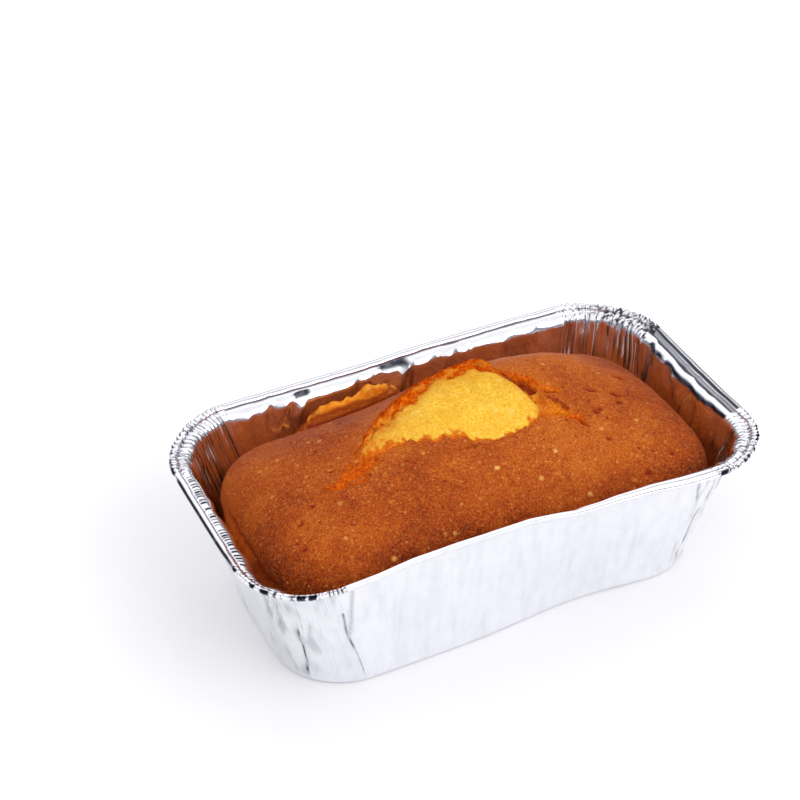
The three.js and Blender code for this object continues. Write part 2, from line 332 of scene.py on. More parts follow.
def frontPush(x, level, out):
    wallTop = tin["wallDent"] * tent(x, tin["kinkX"], tin["wallDentReach"])
    beadTop = tin["beadDent"] * tent(x, tin["kinkX"], tin["beadDentReach"])
    top = mix(wallTop, beadTop, np.clip(out / tin["rimReach"], 0, 1)) + np.interp(x, *zip(*tin["frontBow"]))
    bottom = tin["floorDent"] * bell(x, tin["floorDentX"], tin["floorDentReach"])
    return mix(bottom, top, level)


# the foil's section from the middle of the floor out over the rolled rim: (share, z, out)
def tinRings():
    inside, bend, wallTop = tin["sheetIn"], tin["floorBend"], tin["wallTop"]
    low = tin["sheet"] / 2
    rings = [(share, low, -bend) for share in (0, 0.5, 0.9)]
    for angle in np.radians((8, 35, 62, 90)):
        rings.append((1, low + bend * (1 - math.cos(angle)), -bend - inside + bend * math.sin(angle)))
    for z in np.linspace(4, wallTop, tin["wallRings"]):
        rings.append((1, z, -inside))
    for angle in np.radians((16, 32, 48, 64, 80)):
        z = wallTop + (tin["flangeZ"] - wallTop) * math.sin(angle)
        rings.append((1, z, -inside + tin["shoulderReach"] * (1 - math.cos(angle))))
    rings += [(1, tin["flangeZ"] - drop, out) for out, drop in tin["flangeRings"]]
    for angle in np.radians(np.linspace(178, -200, tin["beadRings"])):
        out = tin["beadAt"] + tin["beadRadius"] * math.cos(angle)
        rings.append((1, tin["beadMiddle"] + tin["beadRadius"] * math.sin(angle), out))
    return np.array(rings)


# round the tin: each corner fold by fold, then the straight after it
def tinStations():
    random = np.random.RandomState(11)
    rows = []
    for quarter in range(4):
        widths = random.uniform(0.35, 1.8, tin["folds"])
        edges = np.concatenate([[0], np.cumsum(widths)]) / widths.sum()
        strength = random.uniform(0.2, 1.4, tin["folds"])
        reach = random.uniform(-0.3, 0.75, tin["folds"])
        for fold in range(tin["folds"]):
            for step in range(tin["foldStations"]):
                share = step / tin["foldStations"]
                turn = mix(edges[fold], edges[fold + 1], share)
                ridge = 1 - abs(2 * share - 1) * 2
                fade = min(1, 8 * turn + 0.2, 8 * (1 - turn) + 0.2)
                rows.append((quarter, turn, 0, ridge * fade * strength[fold], reach[fold], 0))
        runs = tin["straights"][quarter]
        starts = [0] + [end for end, step in runs[:-1]]
        along = np.concatenate([np.arange(start, end, step) for start, (end, step) in zip(starts, runs)])
        # small bars pressed into the left flange, each of its own width and strength
        bars = np.zeros(len(along))
        spot = 4 if quarter == 1 else len(along)
        while spot < len(along) - 6:
            wide = random.randint(1, 4)
            bars[spot:spot + wide] = -random.uniform(0.75, 1.3)
            spot += wide + random.choice([1, 2, 2, 3, 4, 8])
        for place, bar in zip(along / runs[-1][0], bars):
            rows.append((quarter, 1, place, 0, 0, bar))
    return np.array(rows)


def tinPoints():
    rings, stations = tinRings(), tinStations()
    share, z, out = [rings[None, :, k] for k in range(3)]
    quarter, turn, along, fold, reach, bar = [stations[:, None, k] for k in range(6)]
    level = np.clip(z / (tin["height"] - 1), 0, 1)
    onRim = np.clip(out / tin["rimReach"], 0, 1)
    onWall = smooth(z, 0.5, 5) * (1 - onRim)

    def outline(spread):
        halfLength, halfWidth = wallLength(level) + spread, wallReach(level) + spread
        corner = mix(tin["floorCorner"], tin["topCorner"], level) + spread

        def at(side, bend):
            signX = np.where((side == 0) | (side == 3), 1, -1)
            signY = np.where(side < 2, 1, -1)
            angle = (side + bend) * np.pi / 2
            return (signX * (halfLength - corner) + corner * np.cos(angle),
                    signY * (halfWidth - corner) + corner * np.sin(angle))
        startX, startY = at(quarter, turn)
        endX, endY = at((quarter + 1) % 4, 0 * turn)
        return mix(startX, endX, along), mix(startY, endY, along)

    plainX, plainY = outline(out)

    def patchy(height, size, seed):
        return lumps(plainX, plainY, height, size, seed)

    folded = fold * smooth(level, reach, reach + 0.45)
    # the near corner's wall is the smoothest
    wallFold = tin["wallFold"] * mix(0.25, 1, level) * np.where(quarter == 2, 0.55, 1)
    depth = mix(wallFold, tin["rimFold"], onRim) * smooth(z, 0.3, 3)
    spread = out + folded * depth
    # upright flutes, then small crumples near the top of the wall
    spread = spread + tin["flute"] * onWall * patchy(z * 0.1, 4.2, 21)
    spread = spread + tin["flute"] * 1.5 * onWall * patchy(z * 0.3, 13, 22)
    ridges = 1 - 2 * np.abs(patchy(z, 7, 23))
    plainFront = (quarter == 2) * (along > 0)
    spread = spread + tin["crinkle"] * onWall * ridges * smooth(level, 0.55, 0.9) * mix(1, 0.15, plainFront)
    slant = lumps(plainX + 0.4 * z, plainY - 0.3 * z, z * 0.2, 6, 29)
    spread = spread + tin["slant"] * onWall * (1 - np.abs(slant) * 2) * (along == 0)
    # sharp facets along the back and right shoulders
    straight = window(along, 0, 0.08, 0.92, 1) * np.isin(quarter, (0, 3))
    facets = mix(broken(plainX - plainY, 2.2, 71), broken(plainX - plainY, 3.4, 72), smooth(z, 46, 56))
    shoulder = smooth(z, 48.5, 54.5) * (1 - smooth(out, 2.4, 3))
    spread = spread + tin["shoulderCrinkle"] * shoulder * straight * facets
    bars = bar * window(out, 1, 1.4, 3.3, 3.6) * (z > 56)
    spread = spread + tin["bar"] * bars
    x, y = outline(spread)

    onFront, onBack = smooth(-y, 10, 30), smooth(y, 20, 45)
    acrossRight = np.clip(1 - (y / tin["rightBowReach"]) ** 2, 0, 1)
    backBow = np.interp(x, *zip(*tin["backBow"]))
    backBow = backBow * smooth(tin["backBowEnd"] - np.abs(x), 0, tin["backBowFade"])
    newX = x - smooth(x, 40, 80) * tin["rightBow"] * level * acrossRight * (1 - onRim)
    newY = y + onFront * frontPush(x, level, out) + onBack * level * backBow
    wave = tin["rimWave"] * level ** 3 * (np.cos(x / 23 + y / 17) - 1)
    teeth = tin["rimFold"] * folded * onRim
    rimRoll = tin["rimRoll"] * onRim * lumps(x, y, 0, 6, 24)
    flat = smooth(x, tin["flatFrom"], tin["flatTo"])  # right of the kink the rim lies flat
    tilt = onFront * tin["frontTilt"] * mix(1, 0.1, flat) * (onRim * 2 - 1) * level ** 6
    newZ = z + wave + teeth + tilt + rimRoll + tin["bar"] * bars + 0 * newX
    filled = tin["grooveFill"] * plainFront * (1 - flat)
    newZ = newZ + filled * bell(out, 3.8, 0.3) * (z > 56.8)
    points = np.stack([newX * share, newY * share, newZ], -1)

    # inwards along the wall's plan normal, for the creases
    inward = -np.stack([plainX * (wallReach(level) / wallLength(level)) ** 2, plainY, 0 * plainX], -1)
    inward /= np.maximum(np.linalg.norm(inward, axis=-1, keepdims=True), 1e-6)
    # painted shade and painted dark reflections in the valleys: between rim pleats, down the corner folds, in
    # bars and creases
    inCorner = along == 0
    valley = smooth(-folded, -0.1, 0.6) * inCorner
    pick = smooth(patchy(out * 1.5 + z, 1.9, 61), -0.3, 0.2)
    shade = np.maximum(valley * pick * smooth(z, 54.5, 56), valley * onWall * tin["foldShade"])
    # painted dark reflections as specks on the back right corner's rim
    sparkle = inCorner * (quarter == 0) * smooth(-turn, -0.95, -0.5)
    sparkle = sparkle * smooth(patchy(out * 2, 1.1, 80), 0.25, 0.42) * (z > 56)
    shade = np.maximum(shade, tin["speckShade"] * sparkle)
    # painted dark reflections: dashes along the outer side of the rolled edge, a line along it on the left
    edge = smooth(out, 4.8, 5.3) * window(z, 55.2, 55.7, 58.5, 58.75)
    dashed = smooth(patchy(0, 1.9, 64) - 0.4 * folded, -0.05, 0.2) * inCorner
    onLeft = (quarter == 1) * smooth(along, 0, 0.06) * smooth(patchy(0, 5, 65), -1.4, -0.3)
    shade = np.maximum(shade, edge * np.maximum(dashed * smooth(z, 56.4, 56.9) * (out > 5.4), onLeft))
    shade = np.maximum(shade, np.clip(-bars, 0, 1))
    # painted dark reflections: lines along the right rim, in the groove, at the shoulder's edge, over the
    # rolled edge
    onRight = (quarter == 3) * (along > 0) + (quarter == 0) * inCorner * smooth(-turn, -0.25, 0)
    uneven = smooth(broken(plainY, 9, 74), -1.4, -0.2)
    groove = window(out, 3.1, 3.4, 4.1, 4.4) * (z < 57.9)
    band = window(out, 1.95, 2.2, 3.1, 3.3) * (z > 56.8)
    band = band * mix(0.92, 1, smooth(lumps(out * 2.5, plainY * 0.15, 0, 1, 78), -0.4, 0.3))
    outer = smooth(out, 6, 6.2) * smooth(z, 57.5, 57.9)
    ridge = bell(out, 4.6, 0.3) * (z > 58)
    roll = window(out, 4.3, 4.5, 5.2, 5.5) * (z > 58)
    inner = window(out, -0.1, 0.05, 0.55, 0.9) * (z > 55)
    inner = inner * smooth(broken(plainY, 3, 79), -0.9, -0.5)
    mirrored = tin["grooveShade"] * groove + band + tin["rightShade"] * (outer + roll + inner)
    mirrored = np.clip(mirrored, 0, tin["rightShade"])
    shade = np.maximum(shade, onRight * mix(0.95, 1, uneven) * mirrored)
    # painted dark reflections along the back rim, and in blocks
    onBackRim = (quarter == 0) * (along > 0)
    mirrored = np.clip(tin["backShade"] * (groove + outer) + tin["ridgeShade"] * ridge, 0, 1)
    shade = np.maximum(shade, onBackRim * uneven * mirrored)
    for fromX, toX, fromOut, toOut in tin["blocks"]:
        inside = window(x, fromX - 0.6, fromX, toX, toX + 0.6)
        inside = inside * window(out, fromOut - 0.3, fromOut, toOut, toOut + 0.3)
        shade = np.maximum(shade, onBackRim * inside * mix(*tin["blockShade"], pick))
    # painted reflections: soft grey streaks down the walls, darker over the near corner
    streaks = smooth(patchy(z * 0.08, 2.6, 27), 0.1, 0.8) * onWall
    near = inCorner * (quarter == 2) * onWall
    within = inCorner * window(turn, 0, 0.15, 0.85, 1)
    shade = np.maximum(shade, streaks * mix(*tin["streakShade"], within))
    allOver, leftward = tin["cornerShade"]
    shade = shade + near * within * (allOver + leftward * smooth(-turn, -0.6, 0))
    # painted highlights and painted shade: bright and dark lines down the pleats of the far corners
    far = inCorner * np.where(quarter < 2, 1, np.where(quarter == 3, 0.6, 0)) * onWall
    gaps = smooth(patchy(z * 0.3, 3, 76), -0.3, 0.2)
    shade = np.maximum(shade, far * smooth(z, 20, 40) * tin["pleatShade"] * smooth(-fold, 0.35, 0.8) * gaps)
    gaps = smooth(patchy(z * 0.3, 3, 75), -0.05, 0.3)
    glint = far * smooth(z, 30, 52) * smooth(fold, 0.45, 0.9) * gaps
    for line, push, width, dark in tin["creases"]:
        line = np.array(line)
        amount = np.zeros(points.shape[:2])
        for start, end in zip(line[:-1], line[1:]):
            run = end - start
            t = np.clip(((points - start) @ run) / (run @ run), 0, 1)
            away = np.linalg.norm(points - start - t[..., None] * run, axis=-1)
            amount = np.maximum(amount, bell(away, 0, width) * onWall)
        points = points + inward * (push * amount)[..., None]
        # painted shade along the crease
        shade = np.maximum(shade, amount ** 2 * dark)
    return points + np.array([0, shiftY, 0]), np.clip(shade, 0, 1), glint


def foilMaterial():
    finish, tree, shader, spots = newMaterial("foil")
    stretch = addNode(tree, "ShaderNodeMapping", {"Scale": (1, 1, tin["drawn"])})
    tree.links.new(spots, stretch.inputs["Vector"])
    upright = stretch.outputs["Vector"]  # for the lines of the drawn sheet
    addBump(tree, shader, addNoise(tree, upright, 620)["Fac"], *tin["bump"])
    grain = addNoise(tree, spots, 190, 4, 0.6)["Fac"]
    tree.links.new(addRange(tree, grain, 0.3, 0.7, *tin["rough"]), shader.inputs["Roughness"])
    # painted reflections: faint grey lines down the drawn sheet
    lines = addNoise(tree, upright, 300, 4, 0.7)["Fac"]
    lined = addRange(tree, lines, 0.45, 0.75, 0, tin["lineShare"])
    sheen = addMix(tree, lined, addRamp(tree, grain, tin["sheen"]), tint(*tin["lineTint"]))
    # painted shade and painted dark reflections carried by the mesh
    sheen = addMix(tree, carried(tree, "shade"), sheen, tint(*tin["darkTint"]))
    tree.links.new(sheen, shader.inputs["Base Color"])
    # painted highlights: on the glints the foil turns from metal to pale diffuse
    metal = addRange(tree, carried(tree, "glint"), 0, 1, *tin["metal"])
    tree.links.new(metal, shader.inputs["Metallic"])
    return finish


def makeTin():
    points, shade, glint = tinPoints()
    stations, rings = points.shape[:2]
    foil, ring, place = ringTube("foilTin", stations, [rings - 2], "NOTHING")
    putCorners(foil, points[place, ring])
    for name, values in (("shade", shade), ("glint", glint)):
        addAttribute(foil, name, (values + 0 * points[..., 0])[place, ring])
    tidyMesh(foil)
    wall = foil.modifiers.new("sheet", "SOLIDIFY")
    wall.thickness = tin["sheet"] * mm
    wall.offset = 0
    bpy.ops.object.modifier_apply(modifier=wall.name)
    bpy.ops.object.shade_smooth_by_angle(angle=math.radians(50))
    foil.data.materials.append(foilMaterial())
    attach(foil, "root")
    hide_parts("foil_tin")
    print("foil tin:", len(foil.data.polygons), "faces")


# loaf, millimetres
cake = {
    "left": -85.5, "right": 86, "half": 46.5, "corner": 26, "foot": 0.9, "footBend": 1.6,
    "endTaper": 0.953, "footTaper": 0.9344,
    "wall": 0.5, "frontGap": 1, "backGap": 1.8,
    "edge": 37.5, "edgeRiseLeft": 4.6, "edgeFallRight": 2.2, "edgeFallBack": 4,
    "shoulderRise": 10.6, "shoulderWidth": 17, "endShoulderWidth": 10, "endShoulderReach": 45,
    "crownRise": 20, "crownLength": 90, "crownWidth": 50, "crownPower": 3.2,
    "lift": 10.5, "liftX": 30, "liftLength": 41, "liftY": 19, "liftWidth": 26,
    # the split: front edge of the crumb and the lifted lip behind it, as (x, y)
    "splitFront": [(-90, -8), (-46, -8), (-41.9, -5.3), (-37.5, -5.9), (-31.5, -5.3), (-26, -5),
                   (-22.6, -4.3), (-21.7, -7.2), (-17.8, -6.4), (-16, -10.1), (-11.5, -7.9), (-9, -10.8),
                   (-4.8, -10.7), (-3.5, -14.3), (2.3, -15.5), (8, -15.9), (12.1, -15.7), (16.2, -15.4),
                   (21.2, -13.5), (24, -12.6), (27.3, -9.6), (90, -9)],
    "splitLip": [(-90, -8), (-46, -8), (-43.6, -4.2), (-35, 4.6), (-28, 10.4), (-16, 18), (-5, 22.2),
                 (6, 22.6), (13.6, 19.6), (17.8, 13), (19.6, 7.5), (20.8, 4.9), (22, 1.4), (23, -2.2),
                 (24, -6), (25.2, -9.6), (27.3, -9.6), (90, -9)],
    "band": 10, "crumbDrop": 0.2, "crumbSwell": 1.9, "lipFace": 3.3, "lipRun": 2.8,
    "lipCurl": 6, "lipCurlReach": 9, "flankRise": 0.8, "browned": 1.9, "scorch": 0.85,
    # torn places in the crust: (x, y, half width) along each, depth, toasted share, yellow share
    "tears": [
        ([(-37.5, -6.4, 1), (-40.5, -7.5, 3.4), (-44.2, -9, 4.8), (-47.6, -10.3, 4.8), (-51.4, -12, 3.2),
          (-55, -12.5, 2.8), (-58.6, -12.5, 1.3)], 1.3, 0.78, 0),
        ([(25.6, -8.6, 5.2), (29, -9, 5.8), (32.6, -11, 3.6), (35.4, -12.2, 2)], 1.5, 1, 0.2),
        ([(18.9, 14.3, 1.4), (20.8, 12.2, 1.5), (22.6, 9, 1.6), (24.6, 6.6, 1.7), (27.6, 4.8, 1.6),
          (29.6, 2.4, 1.3)], 0.5, 0.9, 0),
        ([(28.8, 0.8, 1.6), (32.1, -1.3, 2.3), (34.9, -2.5, 2.1), (37.2, -3.6, 1)], 1.1, 0.9, 0.1),
        ([(26, -6.8, 2.8), (25.8, -4, 2.8), (27, -1.8, 1.8)], 0.5, 1, 0.35),
        ([(31, -13, 1.4), (35.1, -14.7, 2), (37.2, -16, 1.6), (38.4, -19.6, 1.2)], 0.7, 0.8, 0),
        ([(-11.5, -15, 0.5), (-7, -15.4, 0.6), (-2.5, -14.8, 0.5)], 0.7, 0.3, 0),
    ],
    "hole": [(22.6, 5.6, 1.2), (24.4, 3.6, 2.6), (26.2, 1, 2.6), (28, -0.2, 1.4)], "holeDepth": 2.6,
    # dark red lines where the crust broke: (x, y, half width) along each, strength
    "redLines": [
        ([(20, 12.4, 0.6), (20.9, 9.9, 1.2), (21, 7.4, 0.6)], 1),
        ([(30.3, -1.2, 0.6), (32.5, -3, 0.9), (35, -3.7, 1), (37.6, -3.6, 0.6)], 0.9),
        ([(30.4, -4.6, 0.4), (33.1, -7.5, 0.7), (34.5, -9.4, 0.7), (36.4, -11.2, 0.5)], 0.75),
        ([(36.4, -15.6, 0.6), (37.4, -17, 0.8), (38.2, -19.4, 0.8), (39.2, -20.6, 0.4)], 0.75),
        ([(-12, -15.4, 0.3), (-7, -15.8, 0.5), (-2.5, -15.2, 0.4), (1.5, -17, 0.3)], 0.6),
    ],
    # larger pits: x, y, half length, half width, turn
    "pits": [(49, -4.4, 2.4, 1.2, -0.3), (57.8, -7, 2.1, 1.2, -0.5), (57, -11.4, 1.5, 1.2, 0.2),
             (52.8, -40, 1.5, 0.8, 0.1), (-74.8, -30.2, 1.2, 0.8, 0), (-71.9, -20.3, 1.3, 0.7, 0.4),
             (45.1, -15.2, 1.4, 1, -0.6), (47.4, -14.1, 1.1, 0.9, 0.5), (43.7, -27, 1, 0.9, 0),
             (64.9, 3.3, 2.2, 1.1, -0.5), (64.3, -36.7, 0.9, 0.7, 0.3), (-65.7, -16.2, 0.9, 0.6, 0.2),
             (-53.8, -4.7, 1, 0.6, -0.3)],
    "smallPits": 70,
    # darker (more) and paler (less) places: x, y, half length, half width, amount
    "tones": [(-62, -2, 15, 15, 0.13), (-76, 18, 12, 12, -0.1), (-14, -32, 16, 16, -0.1),
              (50, -38, 14, 14, -0.2), (55, 7, 14, 14, -0.1), (-70, -40, 12, 12, 0.04),
              (15, -22, 45, 16, -0.14), (45, 22, 25, 14, -0.12)],
    # the front edge darkening stands for browning and painted shade together
    "bake": 0.41, "edgeBakeAndShade": 0.4, "leftBake": 0.1, "rightBake": 0.17, "rightEdgePale": 0.3,
    # ragged fin along the back edge: its top as (x, z)
    "finTop": [(-52, 45), (-45.5, 47.7), (-41.6, 52.4), (-38.6, 55.1), (-34.1, 56.3), (-21.9, 56.8),
               (-19.4, 58.8), (-16.9, 60.2), (-12, 58.6), (-7.5, 56.6), (-5.4, 53.6), (-4, 49)],
    "finFoot": [(-44, 50.8), (-38, 51.9), (-30, 52.7), (-21, 53.2), (-13, 53.7), (-9, 54.6)],
    "finLeft": -51, "finRight": -3.4, "finLean": 1.6, "finInset": 5.5, "finFade": (5, 2.2),
    "finGroove": 1.3,
    # the left end leans out to the tin below a groove under the crust's edge
    "endLean": 4, "grooveZ": 47, "groove": 0.7,
    "counts": {"floor": 6, "side": 10, "crust": 104, "edge": 4, "crumb": 70, "lip": 20, "back": 62,
               "fin": 24, "backSide": 8},
    "ends": 46, "middle": 190, "rightMiddle": 22, "rightEnds": 36, "caps": 5, "fineTo": 42,
    # layers of lumps: (height, size, seed) of each
    "crustRelief": [(0.42, 16, 41), (0.2, 6, 42), (0.08, 2.2, 43)],
    "crumbRelief": [(0.28, 6, 44), (0.1, 2.4, 45)], "bakeRelief": [(0.16, 24, 51), (0.08, 7, 52)],
    "frontRag": [(0.4, 2, 32), (0.25, 1.1, 30)], "lipRag": [(0.55, 3.4, 33), (0.35, 1.4, 34)],
    "faceRag": [(0.3, 5, 57), (0.15, 1.8, 58)], "runRag": [(0.5, 3, 39), (0.3, 1.3, 40)],
    "brownRag": [(1.2, 3.2, 55), (0.6, 1.2, 56)],
    # colours along each ramp
    "crustTints": [(0, (194, 104, 30)), (0.35, (172, 76, 14)), (0.6, (152, 61, 10)), (0.85, (124, 45, 8)),
                   (1, (96, 32, 6))],
    "sideTints": [(0.3, (176, 68, 8)), (0.55, (200, 92, 16)), (0.75, (218, 122, 36))],
    "tornTints": [(0.3, (150, 48, 6)), (0.5, (207, 83, 7)), (0.66, (232, 120, 14)), (0.8, (244, 164, 48))],
    "crumbTints": [(0.3, (227, 163, 40)), (0.5, (240, 188, 60)), (0.7, (253, 216, 98))],
    "finTints": [(0.3, (224, 112, 20)), (0.55, (242, 142, 40)), (0.75, (252, 178, 80))],
    # the pits' dark red also paints shade under the fin, in the grooves and in the hole
    "dotTint": (214, 138, 64), "pitAndShadeTint": (128, 26, 2), "pitAndShadeShare": 0.92,
    # scattered dots: (scale, size, left out, strength), colour
    "specks": [((130, 0.16, 0.3, 1), (233, 172, 86)), ((330, 0.2, 0.67, 1), (92, 22, 5))],
    # patches in the crumb: (scale, from, to, strength), colour
    "patches": [((480, 0.54, 0.7, 0.25), (230, 156, 40)), ((110, 0.42, 0.7, 0.4), (230, 160, 42)),
                ((260, 0.55, 0.72, 0.4), (252, 222, 118))],
    "rough": (0.52, 0.9), "shine": (0.1, 0.02),  # crust, crumb
    "bump": (0.5, 0.0007), "warp": 0.0012,  # strength, metres
}


def cornerShare(x, half):
    pastLeft, pastRight = cake["left"] + cake["corner"] - x, x - (cake["right"] - cake["corner"])
    past = np.maximum(np.maximum(pastLeft, pastRight), 0)
    arc = np.sqrt(np.maximum(0, cake["corner"] ** 2 - past ** 2))
    return (half - cake["corner"] + arc) / half


def sideY(x, z, front):
    level = np.clip(z / (tin["height"] - 1), 0, 1)
    half = wallReach(level) - cake["wall"] - (cake["frontGap"] if front else cake["backGap"])
    push = frontPush(x, level, 0) if front else 0
    return (-1 if front else 1) * (half - push) * cornerShare(x, half)


def edgeDepth(x, y, front, back):
    middle = (cake["left"] + cake["right"]) / 2
    pastX = np.abs(x - middle) - ((cake["right"] - cake["left"]) / 2 - cake["corner"])
    across = np.where(y < 0, y / front, y / back)
    pastY = across * cake["half"] * cornerShare(x, cake["half"]) - (cake["half"] - cake["corner"])
    outside = np.hypot(np.maximum(pastX, 0), np.maximum(pastY, 0))
    return cake["corner"] - outside - np.minimum(np.maximum(pastX, pastY), 0)


def domeHeight(x, y):
    toLeft, toRight = x / cake["left"], x / cake["right"]
    endward = np.where(x < 0, cake["edgeRiseLeft"] * toLeft, -cake["edgeFallRight"] * toRight)
    edge = cake["edge"] + endward - cake["edgeFallBack"] * y / cake["half"]
    length = 1 - np.abs(x / cake["crownLength"]) ** cake["crownPower"]
    crown = cake["crownRise"] * length * (1 - (y / cake["crownWidth"]) ** 2)
    lift = bell(x, cake["liftX"], cake["liftLength"]) * bell(y, cake["liftY"], cake["liftWidth"])
    return edge + crown + cake["lift"] * lift


def crustHeight(x, y, front, back):
    fromEnd = np.minimum(x - cake["left"], cake["right"] - x)
    inner = smooth(fromEnd, 0, cake["endShoulderReach"])
    width = mix(cake["endShoulderWidth"], cake["shoulderWidth"], inner)
    depth = np.clip(edgeDepth(x, y, front, back) / width, 0, 1)
    return domeHeight(x, y) + cake["shoulderRise"] * np.sqrt(1 - (1 - depth) ** 2)


# a line through (x, y) points with its corners softened
def softLine(x, points, blur):
    fine = np.linspace(-95, 95, 1901)
    values = np.interp(fine, *zip(*points))
    count = int(blur * 10) * 2 + 1
    values = np.convolve(np.pad(values, count // 2, mode="edge"), np.ones(count) / count, mode="valid")
    return np.interp(x, fine, values)


def cakeStations():
    corner = cake["corner"]

    def bend(count):
        return corner * (1 - np.cos(np.linspace(0, np.pi / 2, count, endpoint=False)))
    leftEnd, rightEnd = cake["left"] + corner, cake["right"] - corner
    x = np.concatenate([
        np.full(cake["caps"], cake["left"]), cake["left"] + bend(cake["ends"]),
        np.linspace(leftEnd, cake["fineTo"], cake["middle"], endpoint=False),
        np.linspace(cake["fineTo"], rightEnd, cake["rightMiddle"], endpoint=False),
        cake["right"] - bend(cake["rightEnds"])[::-1], np.full(cake["caps"], cake["right"]),
    ])
    caps = np.linspace(0, 1, cake["caps"], endpoint=False)
    share = np.concatenate([caps, np.ones(len(x) - 2 * cake["caps"]), caps[::-1]])
    return x[:, None], share[:, None]


def cakePoints():
    x, share = cakeStations()
    count = cake["counts"]
    rows = {key: [] for key in ("y", "z", "slide", "top", "crumb", "toast", "pitAndShade", "side", "fin")}

    def add(y, z, slide=1, top=0, crumb=0, toast=0, pitAndShade=0, side=0, golden=0):
        shape = np.broadcast(x, y).shape
        for key, value in zip(rows, (y, z, slide, top, crumb, toast, pitAndShade, side, golden)):
            rows[key].append(np.broadcast_to(value, shape))

    def steps(name):
        return (np.arange(count[name]) / count[name])[None, :]

    foot, bendZ = cake["foot"], cake["foot"] + cake["footBend"]
    front = sideY(x, domeHeight(x, -cake["half"]), True)
    back = sideY(x, domeHeight(x, cake["half"]), False)
    frontEdge = crustHeight(x, front, front, back)
    backEdge = crustHeight(x, back, front, back)

    # underside, then up the front
    t = steps("floor")
    inset = cake["footBend"]
    y = mix(sideY(x, bendZ, False) - inset, sideY(x, bendZ, True) + inset, t)
    add(y, foot, cake["footTaper"], side=1)
    z = mix(bendZ, frontEdge, steps("side"))
    add(sideY(x, z, True), z, mix(cake["endTaper"], 1, (z - bendZ) / (frontEdge - bendZ)), side=1)

    # the split's two edges and how far it gapes
    gape = np.maximum(softLine(x, cake["splitLip"], 0.8) - softLine(x, cake["splitFront"], 0.8), 0)
    torn = smooth(gape, 0.3, 4)
    rag = layered(x, 0, 0, cake["frontRag"])
    splitY = softLine(x, cake["splitFront"], 0.4) + torn * rag - (1 - torn) * cake["band"] / 2
    lipRag = layered(x, 9, 0, cake["lipRag"])
    lipY = softLine(x, cake["splitLip"], 0.8) + torn * lipRag + (1 - torn) * cake["band"] / 2
    ended = smooth(x, 15, 22)  # right of the middle the crumb stands above the crust beside it
    lifted = torn * (1 - ended)
    curl = cake["lipCurl"] * lifted * np.sqrt(np.clip(gape / 36, 0, 1))
    flank = cake["flankRise"] * torn * ended * (1 - smooth(x, 24.5, 27.5))

    def backTop(y):
        curled = curl * np.exp(np.minimum(lipY - y, 0) / cake["lipCurlReach"])
        return crustHeight(x, y, front, back) + curled

    y = mix(front, splitY, 1 - np.cos(steps("crust") * np.pi / 2))
    add(y, crustHeight(x, y, front, back), 1, 1)
    edgeZ = crustHeight(x, splitY, front, back)
    drop = cake["crumbDrop"] * torn
    t = steps("edge")
    add(splitY + 0.5 * t, edgeZ - drop * t ** 1.5, 1, mix(1, 0.5, torn), 0, torn * (0.3 + 0.7 * t))
    browned = cake["browned"] + layered(x, 5, 0, cake["brownRag"])

    lipTop = backTop(lipY)
    thick = cake["lipFace"] * smooth(gape, 3, 18) * (1 + layered(x, 1, 0, cake["faceRag"]))
    crumbEnd = lipTop - thick * lifted + flank
    t = steps("crumb")
    run = cake["lipRun"] * lifted * (1 + layered(x, 3, 0, cake["runRag"]))
    run = np.minimum(run, 0.45 * gape) * smooth(gape, 1, 7)
    y = mix(splitY + 0.5, lipY - run, t)
    plain = crustHeight(x, y, front, back)
    gash = mix(edgeZ - drop, crumbEnd, t) + cake["crumbSwell"] * torn * np.sin(np.pi * t)
    inRim = (y - splitY) / np.maximum(browned, 0.4) + 0.45 * lumps(x, y, 0, 1.5, 67)
    rim = torn * (1 - smooth(inRim, 0.6, 1.1))
    # the crumb more orange near the lip, partly toasting and partly painted shade under it, and more orange
    # to the left
    warm = 0.55 * np.exp((y - lipY) / 5) + 0.28 * smooth(-x, 8, 36)
    warm = np.clip(warm * (1 + 0.5 * lumps(x, y, 0, 2.6, 68)), 0, 1)
    bare = smooth(gape, 2.2, 5)
    inside = bare * (1 - np.maximum(0.85 * rim, warm))
    add(y, mix(plain, gash, torn), 1, 1 - torn, inside, np.maximum(rim, torn * warm))

    # the lip: undercut, rough torn face, rounded top
    t = steps("lip")
    knots = [0, 0.12, 0.25, 0.78, 0.9, 1]
    face = np.interp(t, knots, [0, -0.06, 0.2, 0.9, 1, 1])
    reach = np.interp(t, knots, [-1, -0.75, -0.72, -0.12, 0, 0])
    ledge = np.interp(t, [0, 0.8, 1], [0, 0, 1.6])
    rough = lifted * np.sin(np.pi * t) * mix(0.35, 1, smooth(x, -42, -28))
    y = lipY + reach * run + mix(0.3 * t, ledge, torn) + rough * 0.5 * lumps(x, t * 12, 5, 1.5, 35)
    lipZ = mix(crumbEnd, backTop(y), face) + rough * 0.6 * lumps(x, t * 12, 9, 1.8, 54)
    spotted = 0.34 * smooth(-x, 20, 34) + 0.3 * lumps(x, t * 10, 2, 2.2, 69)
    pale = np.interp(t, [0, 0.15, 0.5], [0.5, 0.1, 0]) + spotted * smooth(-t, -0.9, -0.5)
    pale = np.clip(pale, 0, 1)
    scorched = np.interp(t, [0.6, 0.8, 0.95, 1], [0, 1, 0.6, 0]) * smooth(lipRag, -0.5, 0.4)
    scorched = cake["scorch"] * lifted * scorched
    add(y, lipZ, 1, mix(1, 0.3, torn), bare * pale * (1 - ended),
        torn * (1 - 0.6 * ended) * np.interp(t, [0, 0.1, 0.85, 1], [0.8, 1, 1, 0.5]), scorched)

